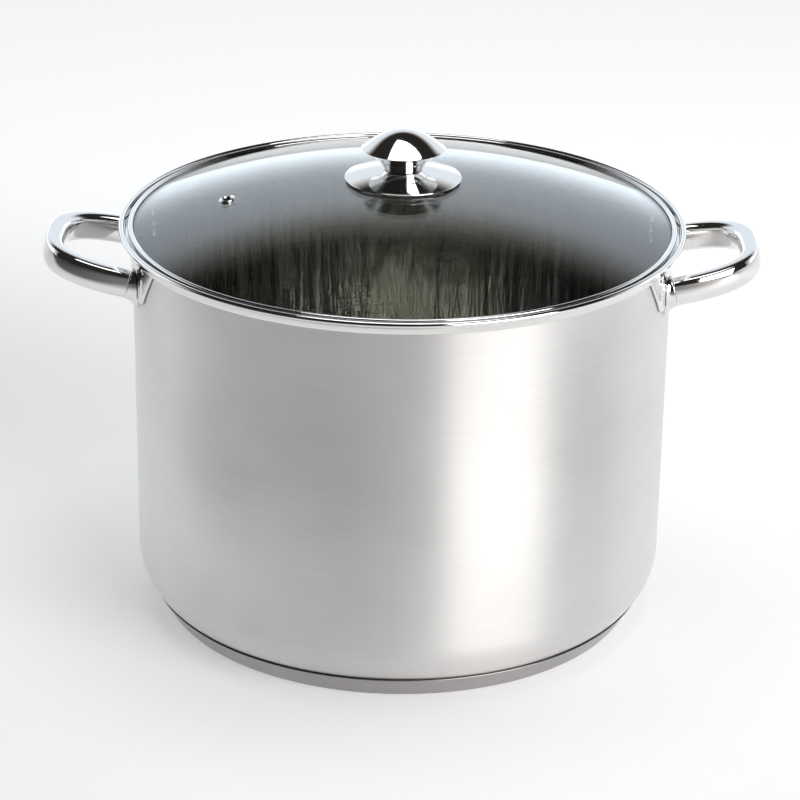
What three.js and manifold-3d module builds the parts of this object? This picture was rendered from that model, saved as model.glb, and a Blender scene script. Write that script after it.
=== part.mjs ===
// Stainless steel water bath canner: a deep pot with a stepped rim, an encapsulated base
// and two tubular loop handles, and a domed glass lid with a steel band, a steam vent and a knob.
// Millimetres, +Z up. The origin is on the floor, under the middle of the base.
import * as THREE from 'three';
import { mergeVertices } from 'three/addons/utils/BufferGeometryUtils.js';
import Module from 'manifold-3d';

const wasm = await Module();
wasm.setup();

// ---- driving dimensions ----
const GAP = 0.3;                 // space left between pieces that touch
const INNER_RADIUS = 160;        // inside of the pot wall
const SHEET = 0.8;               // pot wall and floor
const POT_HEIGHT = 243;          // floor to the top of the rim
const CORNER_RADIUS = 34;        // outside, between floor and wall
const SEAT_DEPTH = 7.2;          // rim top down to the ledge that carries the lid
const RIM_RADIUS = 168.7;        // outermost point of the rolled edge
const RIM_ROLL = 1.6;            // radius of the rolled edge
const RIM_FOOT_RADIUS = 165.8;   // outside of the rim's upright at its foot
const CAP_SHEET = 0.6;           // steel cap under the base
const CORE_THICKNESS = 3.1;      // aluminium heat-spreading disc
const CAP_HEIGHT = 14.3;         // how far the steel cap wraps up the corner
const CAP_FLAT_RADIUS = 141;     // flat underside of the base
const CAP_TOP_RADIUS = 152.4;    // outside of the cap's upper edge

const GLASS = 4;                 // glass thickness
const GLASS_RADIUS = 160.5;      // edge of the glass
const GLASS_EDGE_DROP = 1.6;     // rim top down to the glass's upper edge
const GLASS_RISE = 26.5;         // rim top up to the crown of the dome
const BAND_SHEET = 0.6;
const BAND_RADIUS = 163.2;       // outside of the lid's steel band
const BAND_ROLL = 1.2;           // radius of the band's rounded top
const BAND_LIP_RADIUS = 160.2;   // inner edge of the lip over the glass
const SKIRT_BOTTOM = 231;        // lower edge of the skirt inside the pot's mouth

const PLATE_RADIUS = 34.8;       // polished disc under the knob
const PLATE = 1;
const PLATE_CROWN = 5.5;         // how far the disc's edge sits below its middle
const SEAL = 4.4;                // gasket between disc and glass
const SEAL_RADIUS = 13;
const KNOB_RADIUS = 25;
const KNOB_HEIGHT = 23.3;        // middle of the disc to the top of the knob
const KNOB_WIDEST = 12.2;        // middle of the disc to the knob's widest level
const NECK_FOOT_RADIUS = 11.8;
const FLARE_BEND_RADIUS = 14.6;  // where the trumpet under the knob bends outward
const FLARE_BEND_HEIGHT = 7;
const NECK_SHARE = 0.375;        // share of the trumpet that is the neck; the cap has the rest
const CAP_SHARE = 0.4;           // where the cap's share starts
const KNOB_SHEET = 1;
const KNOB_BORE = 9.6;           // hole in the cap's floor and the neck, round the insert
const INSERT_RADIUS = 9.2;
const INSERT_FLANGE = 13;
const SCREW_RADIUS = 2.5;
const SCREW_HEAD_RADIUS = 4.6;
const SCREW_HEAD = 3;
const GLASS_HOLE = 4.5;          // hole in the crown for the knob's screw
const LOWER_SEAL = 2;
const LOWER_SEAL_RADIUS = 11;
const WASHER = 1;
const WASHER_RADIUS = 9;

const VENT_X = -104;             // steam vent, seen from above
const VENT_Y = -12.5;
const VENT_HOLE = 2.5;           // radius of the open way through
const VENT_BARREL = 3.5;
const VENT_FLANGE = 5;

const HANDLE_REACH = 208.6;      // pot axis to the tube's centreline at the loop's end
const HANDLE_START = 160.5;      // pot axis to the tube's cut ends
const HANDLE_HALF_SPAN = 41;     // half the distance between the legs, at the bend
const HANDLE_SPLAY = 2.5;        // how much further apart the legs stand at the pot
const HANDLE_SQUARENESS = 3;     // 2 is an ellipse, higher is squarer
const HANDLE_TILT = 12.2;        // degrees that the loop rises away from the pot
const HANDLE_DROP = 28.2;        // rim top down to the tube's centre, at the hinge of the tilt
const HANDLE_TILT_RADIUS = 155;  // where that centre is measured
const TUBE_HALF_WIDTH = 6.2;
const TUBE_HALF_HEIGHT = 8.5;
const TUBE_WALL = 1.2;
const TAB_SHEET = 1.2;
const TAB_HALF_WIDTH = 30;       // at its upper edge
const TAB_FOOT_HALF_WIDTH = 9;   // at its lower edge
const TAB_DROP = 9;              // rim top down to the tab's upper edge
const TAB_HEIGHT = 26.5;
const TAB_SIDE_SHIFT = 49;       // how far the middle of a tab stands from the handle's middle

const ROUND = 48;                // facets round the pot and lid
const SMALL_ROUND = 30;          // facets round the knob
const TINY_ROUND = 20;           // facets round the screw and the vent

// ---- derived levels and radii ----
const WALL_RADIUS = INNER_RADIUS + SHEET;
const FLOOR_BOTTOM = CAP_SHEET + CORE_THICKNESS + 2 * GAP;
const RIM_TOP = POT_HEIGHT;
const LEDGE_TOP = RIM_TOP - SEAT_DEPTH;
const LEDGE_BOTTOM = LEDGE_TOP - SHEET;
const CROWN = RIM_TOP + GLASS_RISE;
const GLASS_EDGE_Z = RIM_TOP - GLASS_EDGE_DROP;
const DOME_RISE = CROWN - GLASS_EDGE_Z;
const DOME_RADIUS = (GLASS_RADIUS ** 2 + DOME_RISE ** 2) / (2 * DOME_RISE);
const DOME_CENTRE = CROWN - DOME_RADIUS;
const TAB_OUTSIDE = WALL_RADIUS + GAP + TAB_SHEET;
const PLATE_TOP = CROWN + SEAL + PLATE + 2 * GAP;

// ---- materials ----
function metal(name, color, roughness) {
  return new THREE.MeshStandardMaterial({ name, color, roughness, metalness: 1 });
}
const brushedSteel = metal('brushed_steel', 0xc8c5c2, 0.38);
const polishedSteel = metal('polished_steel', 0xd2d2d4, 0.08);
const plainSteel = metal('plain_steel', 0xb4b4b6, 0.3);
const aluminium = metal('aluminium', 0xb9bbbd, 0.45);
const clearGlass = new THREE.MeshStandardMaterial({
  name: 'glass', color: 0xdfe9ea, roughness: 0.03, metalness: 0, transparent: true, opacity: 0.3,
});
const silicone = new THREE.MeshStandardMaterial({
  name: 'silicone', color: 0xd9d6c8, roughness: 0.6, metalness: 0,
});

// ---- shape helpers ----
const point = (x, y) => new THREE.Vector2(x, y);
const radians = THREE.MathUtils.degToRad;

// Points on an arc round (x, y), between two angles in degrees, ends included.
function arc(x, y, radius, from, to, steps) {
  const points = [];
  for (let i = 0; i <= steps; i += 1) {
    const angle = radians(from + (to - from) * i / steps);
    points.push(point(x + radius * Math.cos(angle), y + radius * Math.sin(angle)));
  }
  return points;
}

// A solid of revolution about Z. The outline is (radius, height) and runs anticlockwise.
function turned(outline, segments, closed) {
  const points = closed ? [...outline, outline[0].clone()] : outline;
  const geometry = new THREE.LatheGeometry(points, segments);
  geometry.rotateX(Math.PI / 2);
  return geometry;
}

// A flat ring or washer about Z.
function ring(inner, outer, bottom, top, segments) {
  return turned([
    point(inner, bottom), point(outer, bottom), point(outer, top), point(inner, top),
  ], segments, true);
}

// A closed superellipse shape.
function roundedOval(halfX, halfY, squareness, steps) {
  const points = [];
  for (let i = 0; i < steps; i += 1) {
    const angle = 2 * Math.PI * i / steps;
    points.push(point(halfX * rounded(Math.cos(angle), squareness),
      halfY * rounded(Math.sin(angle), squareness)));
  }
  return points;
}

function rounded(value, squareness) {
  return Math.sign(value) * Math.abs(value) ** (2 / squareness);
}

// ---- joining and cutting ----
function toSolid(geometry) {
  const bare = geometry.clone();
  bare.deleteAttribute('normal');
  bare.deleteAttribute('uv');
  const merged = mergeVertices(bare, 1e-4);
  return new wasm.Manifold(new wasm.Mesh({
    numProp: 3,
    vertProperties: new Float32Array(merged.attributes.position.array),
    triVerts: new Uint32Array(merged.index.array),
  }));
}

function toGeometry(solid) {
  const mesh = solid.getMesh();
  const geometry = new THREE.BufferGeometry();
  geometry.setAttribute('position', new THREE.BufferAttribute(mesh.vertProperties, 3));
  geometry.setIndex(new THREE.BufferAttribute(mesh.triVerts, 1));
  geometry.computeVertexNormals();
  return geometry;
}

const canner = new THREE.Group();

function addPiece(name, geometry, material, parent = canner) {
  const mesh = new THREE.Mesh(geometry, material);
  mesh.name = name;
  parent.add(mesh);
  return mesh;
}

// ---- pot ----
// One drawn sheet: flat floor, round corner, straight wall, a ledge stepping out for the lid,
// and a short upright that leans out to a rolled edge.
function potShell() {
  const cornerX = WALL_RADIUS - CORNER_RADIUS;
  const cornerZ = FLOOR_BOTTOM + CORNER_RADIUS;
  const rollX = RIM_RADIUS - RIM_ROLL;
  const rollZ = RIM_TOP - RIM_ROLL;
  const footRound = 1.3;
  return turned([
    point(0, FLOOR_BOTTOM),
    ...arc(cornerX, cornerZ, CORNER_RADIUS, -90, 0, 6),
    ...arc(WALL_RADIUS + SHEET, LEDGE_BOTTOM - SHEET, SHEET, 180, 90, 1),
    ...arc(RIM_FOOT_RADIUS - footRound, LEDGE_BOTTOM + footRound, footRound, -90, -10, 2),
    ...arc(rollX, rollZ, RIM_ROLL, -55, 215, 6),
    point(RIM_FOOT_RADIUS - SHEET, LEDGE_TOP + 0.6),
    point(RIM_FOOT_RADIUS - SHEET - 0.6, LEDGE_TOP),
    ...arc(INNER_RADIUS + SHEET, LEDGE_TOP - SHEET, SHEET, 90, 180, 1),
    ...arc(cornerX, cornerZ, CORNER_RADIUS - SHEET, 0, -90, 6),
    point(0, FLOOR_BOTTOM + SHEET),
  ], ROUND);
}

// Aluminium disc under the floor; its edge turns up a little into the corner.
function baseCore() {
  const cornerX = WALL_RADIUS - CORNER_RADIUS;
  const cornerZ = FLOOR_BOTTOM + CORNER_RADIUS;
  const bottom = CAP_SHEET + GAP;
  return turned([
    point(0, bottom),
    point(CAP_FLAT_RADIUS - 1, bottom),
    point(CAP_FLAT_RADIUS + 3.5, bottom + 2.5),
    ...arc(cornerX, cornerZ, CORNER_RADIUS + GAP, -58, -90, 3),
    point(0, bottom + CORE_THICKNESS),
  ], ROUND);
}

// Shallow steel cup that closes the base and wraps up the corner.
function baseCap() {
  const bend = 5;
  const outer = [
    point(0, 0),
    ...arc(CAP_FLAT_RADIUS, bend, bend, -90, -30, 3),
    point(CAP_TOP_RADIUS, CAP_HEIGHT),
  ];
  const inner = [
    point(CAP_TOP_RADIUS - CAP_SHEET, CAP_HEIGHT),
    ...arc(CAP_FLAT_RADIUS, bend, bend - CAP_SHEET, -30, -90, 3),
    point(0, CAP_SHEET),
  ];
  return turned([...outer, ...inner], ROUND);
}

// ---- handles ----
// Centreline of one loop, flat in its own plane, with its legs along X.
class LoopPath extends THREE.Curve {
  getPoint(t, target = new THREE.Vector3()) {
    const angle = Math.PI * (t - 0.5);
    const out = rounded(Math.cos(angle), HANDLE_SQUARENESS);
    const span = HANDLE_HALF_SPAN + HANDLE_SPLAY * Math.cos(Math.PI / 2 * out) ** 2;
    return target.set(
      HANDLE_START + (HANDLE_REACH - HANDLE_START) * out,
      span * rounded(Math.sin(angle), HANDLE_SQUARENESS),
      0,
    );
  }
}

function oval(halfHeight, halfWidth, steps) {
  return new THREE.Shape(roundedOval(halfHeight, halfWidth, 2.4, steps));
}

function handleTube() {
  const section = oval(TUBE_HALF_HEIGHT, TUBE_HALF_WIDTH, 12);
  section.holes.push(new THREE.Path(
    roundedOval(TUBE_HALF_HEIGHT - TUBE_WALL, TUBE_HALF_WIDTH - TUBE_WALL, 2.4, 12).reverse(),
  ));
  return new THREE.ExtrudeGeometry(section, { extrudePath: new LoopPath(), steps: 22 });
}

// Where a flat loop stands on the pot: it rises away from the wall.
function handleFrame(side) {
  const turn = side > 0 ? 0 : Math.PI;
  return new THREE.Matrix4().makeRotationZ(turn)
    .multiply(new THREE.Matrix4().makeTranslation(HANDLE_TILT_RADIUS, 0, RIM_TOP - HANDLE_DROP))
    .multiply(new THREE.Matrix4().makeRotationY(-radians(HANDLE_TILT)))
    .multiply(new THREE.Matrix4().makeTranslation(-HANDLE_TILT_RADIUS, 0, 0));
}

// A straight oval bar along X, used for the parts of a foot.
function ovalBar(halfHeight, halfWidth, from, to, y) {
  const path = new THREE.LineCurve3(new THREE.Vector3(from, y, 0), new THREE.Vector3(to, y, 0));
  return new THREE.ExtrudeGeometry(oval(halfHeight, halfWidth, 16), { extrudePath: path, steps: 1 });
}

// Oval ferrule that plugs one end of a tube and is welded to its tab. end is 1 or -1 along Y.
function handleFoot(frame, end) {
  const y = end * (HANDLE_HALF_SPAN + HANDLE_SPLAY);
  const plugLength = 3;
  const plugShrink = TUBE_WALL + 1;
  const collarGrow = 0.6;
  const collar = ovalBar(TUBE_HALF_HEIGHT + collarGrow, TUBE_HALF_WIDTH + collarGrow,
    INNER_RADIUS - 20, HANDLE_START - GAP, y);
  const plug = ovalBar(TUBE_HALF_HEIGHT - plugShrink, TUBE_HALF_WIDTH - plugShrink,
    INNER_RADIUS - 20, HANDLE_START + plugLength, y);
  const inside = turned([
    point(0, LEDGE_BOTTOM - 80), point(TAB_OUTSIDE + GAP, LEDGE_BOTTOM - 80),
    point(TAB_OUTSIDE + GAP, LEDGE_BOTTOM), point(0, LEDGE_BOTTOM),
  ], ROUND);
  const bar = toSolid(collar.applyMatrix4(frame)).add(toSolid(plug.applyMatrix4(frame)));
  return toGeometry(bar.subtract(toSolid(inside)));
}

// Outline of a mounting tab: wide under the rim, narrowing to a short foot with round corners.
function tabOutline() {
  const shape = new THREE.Shape();
  const foot = TAB_FOOT_HALF_WIDTH;
  const corner = 3;
  shape.moveTo(-TAB_HALF_WIDTH, 0);
  shape.lineTo(-foot - 1, -TAB_HEIGHT + corner);
  shape.quadraticCurveTo(-foot + 1, -TAB_HEIGHT, -foot + corner, -TAB_HEIGHT);
  shape.lineTo(foot - corner, -TAB_HEIGHT);
  shape.quadraticCurveTo(foot - 1, -TAB_HEIGHT, foot + 1, -TAB_HEIGHT + corner);
  shape.lineTo(TAB_HALF_WIDTH, 0);
  return shape;
}

// A tab is that outline cut from a sleeve that follows the wall.
function mountingTab(side, end) {
  const top = RIM_TOP - TAB_DROP;
  const blank = new THREE.ExtrudeGeometry(tabOutline(), {
    depth: 30, bevelEnabled: false, curveSegments: 5,
  });
  blank.rotateX(Math.PI / 2);
  blank.rotateZ(Math.PI / 2);
  blank.translate(WALL_RADIUS - 20, 0, top);
  const angle = Math.asin(TAB_SIDE_SHIFT / WALL_RADIUS);
  blank.rotateZ(side > 0 ? end * angle : Math.PI + end * angle);
  const sleeve = ring(WALL_RADIUS + GAP, TAB_OUTSIDE, top - TAB_HEIGHT - 5, top + 5, ROUND);
  return toGeometry(toSolid(blank).intersect(toSolid(sleeve)));
}

function addHandle(sideName, side) {
  const frame = handleFrame(side);
  addPiece(`${sideName}_handle_tube`, handleTube(), polishedSteel).applyMatrix4(frame);
  for (const [endName, end] of [['front', -1], ['rear', 1]]) {
    const localEnd = side * end;
    addPiece(`${sideName}_handle_${endName}_foot`, handleFoot(frame, localEnd), polishedSteel);
    addPiece(`${sideName}_handle_${endName}_tab`, mountingTab(side, localEnd), polishedSteel);
  }
}

// ---- lid ----
const lid = new THREE.Group();
canner.add(lid);

// Height of a dome of the given radius, concentric with the glass, at a distance from the axis.
function domeHeight(radius, distance) {
  return DOME_CENTRE + Math.sqrt(radius ** 2 - distance ** 2);
}

function domeLine(radius, from, to, steps) {
  const points = [];
  for (let i = 0; i <= steps; i += 1) {
    const distance = from + (to - from) * i / steps;
    points.push(point(distance, domeHeight(radius, distance)));
  }
  return points;
}

// Turns a piece drawn at the crown so that it stands on the dome at the vent.
function placeAtVent(object) {
  const distance = Math.hypot(VENT_X, VENT_Y);
  const lean = Math.asin(distance / DOME_RADIUS);
  object.rotation.order = 'ZYX';
  object.rotation.set(0, lean, Math.atan2(VENT_Y, VENT_X));
  object.position.set(VENT_X, VENT_Y, domeHeight(DOME_RADIUS, distance));
}

// Domed glass with a hole at the crown for the knob and a small one for the vent.
function lidGlass() {
  const dome = turned([
    ...domeLine(DOME_RADIUS, GLASS_RADIUS, GLASS_HOLE, 8),
    ...domeLine(DOME_RADIUS - GLASS, GLASS_HOLE, GLASS_RADIUS, 8),
  ], ROUND, true);
  const drill = new THREE.Object3D();
  placeAtVent(drill);
  drill.updateMatrix();
  const depth = 3 * GLASS;
  const hole = new THREE.CylinderGeometry(
    VENT_BARREL + GAP, VENT_BARREL + GAP, 2 * depth, TINY_ROUND,
  );
  hole.rotateX(Math.PI / 2).applyMatrix4(drill.matrix);
  return toGeometry(toSolid(dome).subtract(toSolid(hole)));
}

// Steel band folded round the glass: a narrow lip over it, a rounded top, an outer wall that
// rests on the pot's ledge, and a skirt that carries the glass and drops into the pot's mouth.
function lidBand() {
  const rollX = BAND_RADIUS - BAND_ROLL;
  const rollZ = RIM_TOP - BAND_ROLL;
  const rest = LEDGE_TOP + GAP;
  const skirt = INNER_RADIUS - 0.5;
  const channel = GLASS_RADIUS + GAP;
  const lip = BAND_LIP_RADIUS;
  const over = DOME_RADIUS + GAP;
  const under = DOME_RADIUS - GLASS - GAP;
  const hollowTop = rollZ + 0.4;
  return turned([
    point(skirt - BAND_SHEET, domeHeight(under, skirt - BAND_SHEET)),
    point(skirt - BAND_SHEET, SKIRT_BOTTOM),
    point(skirt, SKIRT_BOTTOM),
    point(skirt, rest),
    point(channel + BAND_SHEET, rest),
    point(channel + BAND_SHEET, rollZ - 0.6),
    point(rollX - 0.4, hollowTop),
    point(rollX + 0.4, hollowTop),
    point(BAND_RADIUS - BAND_SHEET, rollZ),
    point(BAND_RADIUS - BAND_SHEET, rest),
    point(BAND_RADIUS, rest),
    ...arc(rollX, rollZ, BAND_ROLL, 0, 150, 6),
    point(lip, domeHeight(over + 0.25, lip)),
    point(lip, domeHeight(over, lip)),
    point(channel, domeHeight(over, channel)),
    point(channel, domeHeight(under, channel)),
  ], ROUND, true);
}

// Eyelet drawn about Z with the glass's upper face at z = 0.
function ventEyelet() {
  const flangeHeight = 0.9;
  const below = -GLASS - WASHER - 2 * GAP;
  return turned([
    point(VENT_HOLE, below - 0.8),
    point(VENT_FLANGE - 0.8, below - 0.8),
    point(VENT_FLANGE - 0.4, below - GAP),
    point(VENT_BARREL, below - GAP),
    point(VENT_BARREL, GAP),
    point(VENT_FLANGE, GAP),
    point(VENT_FLANGE - 0.3, flangeHeight),
    point(VENT_HOLE + 0.9, flangeHeight + GAP),
    point(VENT_HOLE, flangeHeight - 0.2),
  ], TINY_ROUND, true);
}

function addVent() {
  const top = -GLASS - GAP;
  placeAtVent(addPiece('vent_eyelet', ventEyelet(), polishedSteel, lid));
  placeAtVent(addPiece('vent_washer',
    ring(VENT_BARREL + GAP, VENT_FLANGE + 0.6, top - WASHER, top, TINY_ROUND), silicone, lid));
}

// ---- knob ----
// Height of the domed disc's upper face at a distance from its axis.
function plateHeight(distance) {
  const radius = (PLATE_RADIUS ** 2 + PLATE_CROWN ** 2) / (2 * PLATE_CROWN);
  return PLATE_TOP - radius + Math.sqrt(radius ** 2 - distance ** 2);
}

function knobPlate() {
  const bore = SCREW_RADIUS + GAP;
  const steps = 4;
  const upper = [];
  const lower = [];
  for (let i = 0; i <= steps; i += 1) {
    const distance = PLATE_RADIUS + (bore - PLATE_RADIUS) * i / steps;
    upper.push(point(distance, plateHeight(distance)));
    lower.unshift(point(distance, plateHeight(distance) - PLATE));
  }
  return turned([...upper, ...lower], SMALL_ROUND, true);
}

// The knob's trumpet-shaped underside, as radius and height over the middle of the disc, from
// its foot at t = 0 to its widest edge at t = 1.
function knobFlare(t) {
  return new THREE.QuadraticBezierCurve(
    point(NECK_FOOT_RADIUS, 0),
    point(FLARE_BEND_RADIUS, FLARE_BEND_HEIGHT),
    point(KNOB_RADIUS, KNOB_WIDEST),
  ).getPoint(t);
}

function flareLine(from, to, steps) {
  const points = [];
  for (let i = 0; i <= steps; i += 1) {
    const place = knobFlare(from + (to - from) * i / steps);
    points.push(point(place.x, PLATE_TOP + place.y));
  }
  return points;
}

// Levels of the seam between neck and cap.
const NECK_TOP = PLATE_TOP + knobFlare(NECK_SHARE).y;
const CAP_BASE = PLATE_TOP + knobFlare(CAP_SHARE).y;

// Crown of the cap: z rises from the widest level to a gently pointed top.
function capLine(radius, height, base, steps) {
  const points = [];
  for (let i = 0; i <= steps; i += 1) {
    const across = Math.cos(Math.PI / 2 * i / steps);
    points.push(point(radius * across, base + height * (1 - across ** 2) ** 1.1));
  }
  return points;
}

// Hollow mushroom cap, with a floor that the insert clamps.
function knobCap() {
  const widest = PLATE_TOP + KNOB_WIDEST;
  const rise = KNOB_HEIGHT - KNOB_WIDEST;
  const seam = knobFlare(CAP_SHARE).x;
  return turned([
    point(KNOB_BORE, CAP_BASE),
    ...flareLine(CAP_SHARE, 0.95, 4),
    ...capLine(KNOB_RADIUS, rise, widest, 8),
    ...capLine(KNOB_RADIUS - 1.6, rise - KNOB_SHEET, widest, 6).reverse(),
    point(seam - 0.8, CAP_BASE + KNOB_SHEET),
    point(KNOB_BORE, CAP_BASE + KNOB_SHEET),
  ], SMALL_ROUND, true);
}

// Waisted collar between the disc and the cap.
function knobNeck() {
  const foot = plateHeight(NECK_FOOT_RADIUS) + GAP;
  const waist = knobFlare(0.2);
  return turned([
    point(NECK_FOOT_RADIUS - KNOB_SHEET, foot),
    point(NECK_FOOT_RADIUS, foot),
    ...flareLine(0.05, NECK_SHARE, 4),
    point(KNOB_BORE, NECK_TOP),
    point(KNOB_BORE, NECK_TOP - KNOB_SHEET),
    point(waist.x - KNOB_SHEET, PLATE_TOP + waist.y),
  ], SMALL_ROUND, true);
}

// Threaded insert that pulls the cap and neck down on the disc.
function knobInsert() {
  const bore = SCREW_RADIUS + GAP;
  const bottom = PLATE_TOP + GAP;
  const flange = CAP_BASE + KNOB_SHEET + GAP;
  return turned([
    point(bore, bottom),
    point(INSERT_RADIUS, bottom),
    point(INSERT_RADIUS, flange),
    point(INSERT_FLANGE, flange),
    point(INSERT_FLANGE, flange + 2),
    point(INSERT_RADIUS, flange + 2.6),
    point(INSERT_RADIUS - 1, flange + 8),
    point(0, flange + 8),
    point(0, flange + 6),
    point(bore, flange + 6),
  ], SMALL_ROUND, true);
}

// Screw from under the glass, with a cross recess in its head.
function knobScrew(headTop) {
  const tip = NECK_TOP + 5;
  const bottom = headTop - SCREW_HEAD;
  const screw = toSolid(turned([
    point(0, bottom),
    point(SCREW_HEAD_RADIUS - 1.8, bottom),
    point(SCREW_HEAD_RADIUS - 0.4, bottom + 0.8),
    point(SCREW_HEAD_RADIUS, headTop - 0.6),
    point(SCREW_HEAD_RADIUS, headTop),
    point(SCREW_RADIUS, headTop),
    point(SCREW_RADIUS, tip - 0.8),
    point(SCREW_RADIUS - 0.8, tip),
    point(0, tip),
  ], TINY_ROUND));
  const slot = new THREE.BoxGeometry(4.4, 0.9, 3.2).translate(0, 0, bottom);
  const across = slot.clone().rotateZ(Math.PI / 2);
  return toGeometry(screw.subtract(toSolid(slot)).subtract(toSolid(across)));
}

// Gasket that fills the space between the glass and the domed disc.
function knobSeal() {
  const bore = SCREW_RADIUS + GAP;
  const over = DOME_RADIUS + GAP;
  return turned([
    point(bore, domeHeight(over, bore)),
    point(SEAL_RADIUS, domeHeight(over, SEAL_RADIUS)),
    point(SEAL_RADIUS, plateHeight(SEAL_RADIUS) - PLATE - GAP),
    point(bore, plateHeight(bore) - PLATE - GAP),
  ], SMALL_ROUND, true);
}

function addKnob() {
  const bore = SCREW_RADIUS + GAP;
  const lowerSealTop = CROWN - GLASS - GAP;
  const washerTop = lowerSealTop - LOWER_SEAL - GAP;
  addPiece('knob_cap', knobCap(), polishedSteel, lid);
  addPiece('knob_neck', knobNeck(), polishedSteel, lid);
  addPiece('knob_insert', knobInsert(), plainSteel, lid);
  addPiece('knob_plate', knobPlate(), polishedSteel, lid);
  addPiece('knob_seal', knobSeal(), silicone, lid);
  addPiece('knob_lower_seal',
    ring(bore, LOWER_SEAL_RADIUS, lowerSealTop - LOWER_SEAL, lowerSealTop, SMALL_ROUND),
    silicone, lid);
  addPiece('knob_washer', ring(bore, WASHER_RADIUS, washerTop - WASHER, washerTop, SMALL_ROUND),
    plainSteel, lid);
  addPiece('knob_screw', knobScrew(washerTop - WASHER - GAP), plainSteel, lid);
}

// ---- assembly ----
addPiece('pot_shell', potShell(), brushedSteel);
addPiece('base_core', baseCore(), aluminium);
addPiece('base_cap', baseCap(), brushedSteel);
addHandle('left', -1);
addHandle('right', 1);
addPiece('lid_glass', lidGlass(), clearGlass, lid);
addPiece('lid_band', lidBand(), polishedSteel, lid);
addVent();
addKnob();
canner.updateMatrixWorld(true);

export default canner;
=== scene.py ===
"""Looks of the stainless steel water bath canner: fine meshes, materials, light and camera.

Shapes are drawn in millimetres and turned into metres when their mesh is made.
The pot's axis is Z, the handles lie along X, and the floor is at z = 0.
"""
import math

import bmesh
import bpy
from mathutils import Matrix, Vector


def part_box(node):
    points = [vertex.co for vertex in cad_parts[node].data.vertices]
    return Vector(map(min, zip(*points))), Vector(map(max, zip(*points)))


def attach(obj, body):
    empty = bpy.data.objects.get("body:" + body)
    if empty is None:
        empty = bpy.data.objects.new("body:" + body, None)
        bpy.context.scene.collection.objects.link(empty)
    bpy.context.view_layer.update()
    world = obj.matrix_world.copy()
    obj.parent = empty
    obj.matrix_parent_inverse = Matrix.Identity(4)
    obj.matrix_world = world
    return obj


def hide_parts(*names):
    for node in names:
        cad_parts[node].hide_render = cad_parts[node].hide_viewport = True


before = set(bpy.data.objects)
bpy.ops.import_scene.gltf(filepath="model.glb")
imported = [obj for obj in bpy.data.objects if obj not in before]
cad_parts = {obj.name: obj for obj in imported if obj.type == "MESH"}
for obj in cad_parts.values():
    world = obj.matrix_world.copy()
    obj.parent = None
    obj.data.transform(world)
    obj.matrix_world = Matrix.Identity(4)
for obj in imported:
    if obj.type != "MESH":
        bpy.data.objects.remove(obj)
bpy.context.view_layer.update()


MM = 0.001
GAP = 0.3                  # between pieces that touch
SHEET = 0.8                # pot wall and floor
POT_FACETS = 256           # round the pot and the lid
KNOB_FACETS = 96
SMALL_FACETS = 48
CREASE = math.radians(32)  # edges sharper than this are drawn sharp


# ---- sizes read from the frame, in millimetres ----
def low(node):
    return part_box(node)[0] / MM


def high(node):
    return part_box(node)[1] / MM


RIM_TOP = high("pot_shell").z
RIM_RADIUS = high("pot_shell").x
FLOOR_BOTTOM = low("pot_shell").z
WALL_RADIUS = 160.8
CORNER_RADIUS = 34
CORNER_X = WALL_RADIUS - CORNER_RADIUS
CORNER_Z = FLOOR_BOTTOM + CORNER_RADIUS
LEDGE_TOP = RIM_TOP - 7.2
LEDGE_BOTTOM = LEDGE_TOP - SHEET
RIM_FOOT_RADIUS = 165.8
RIM_ROLL = 1.6
CAP_TOP_RADIUS = high("base_cap").x
CAP_HEIGHT = high("base_cap").z
CAP_FLAT_RADIUS = 141
BAND_RADIUS = high("lid_band").x
BAND_TOP = RIM_TOP
GLASS = 4
GLASS_RADIUS = high("lid_glass").x
CROWN = high("lid_glass").z
GLASS_EDGE_Z = RIM_TOP - 1.6
DOME_RISE = CROWN - GLASS_EDGE_Z
DOME_RADIUS = (GLASS_RADIUS ** 2 + DOME_RISE ** 2) / (2 * DOME_RISE)
DOME_CENTRE = CROWN - DOME_RADIUS
PLATE_TOP = high("knob_plate").z
PLATE_RADIUS = high("knob_plate").x
PLATE_CROWN = 5.5
KNOB_TOP = high("knob_cap").z
KNOB_RADIUS = high("knob_cap").x
VENT = (low("vent_eyelet") + high("vent_eyelet")) / 2
VENT_DISTANCE = math.hypot(VENT.x, VENT.y)
TUBE_HALF_HEIGHT = 8.5
TUBE_HALF_WIDTH = 6.2
HANDLE_TILT = math.radians(12.2)
HANDLE_TILT_RADIUS = 155
HANDLE_LEVEL = RIM_TOP - 28.2
HANDLE_START = 160.5
HANDLE_REACH = 208.6
HANDLE_HALF_SPAN = 41
HANDLE_SPLAY = 2.5
HANDLE_SQUARENESS = 3
TAB_ANGLE = math.asin(49 / WALL_RADIUS)


# ---- outlines ----
def arc(x, y, radius, start, end, steps):
    """Points on an arc round (x, y) between two angles in degrees, ends included."""
    angles = [math.radians(start + (end - start) * i / steps) for i in range(steps + 1)]
    return [(x + radius * math.cos(a), y + radius * math.sin(a)) for a in angles]


def softened(corners, steps=5):
    """A closed outline with its corners rounded. Each corner is (x, y) or (x, y, radius)."""
    points = []
    count = len(corners)
    for i, corner in enumerate(corners):
        radius = corner[2] if len(corner) > 2 else 0
        here = Vector(corner[:2])
        if not radius:
            points.append(tuple(here))
            continue
        before = (Vector(corners[i - 1][:2]) - here).normalized()
        after = (Vector(corners[(i + 1) % count][:2]) - here).normalized()
        half = before.angle(after) / 2
        reach = radius / math.tan(half)
        centre = here + (before + after).normalized() * (radius / math.sin(half))
        first = here + before * reach - centre
        turn = first.angle_signed(here + after * reach - centre)
        for step in range(steps + 1):
            angle = -turn * step / steps
            spun = Matrix.Rotation(angle, 2) @ first
            points.append(tuple(centre + spun))
    return points


def dome_height(radius, distance):
    """Height of a dome of that radius, concentric with the glass, at a distance from the axis."""
    return DOME_CENTRE + math.sqrt(radius ** 2 - distance ** 2)


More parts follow.
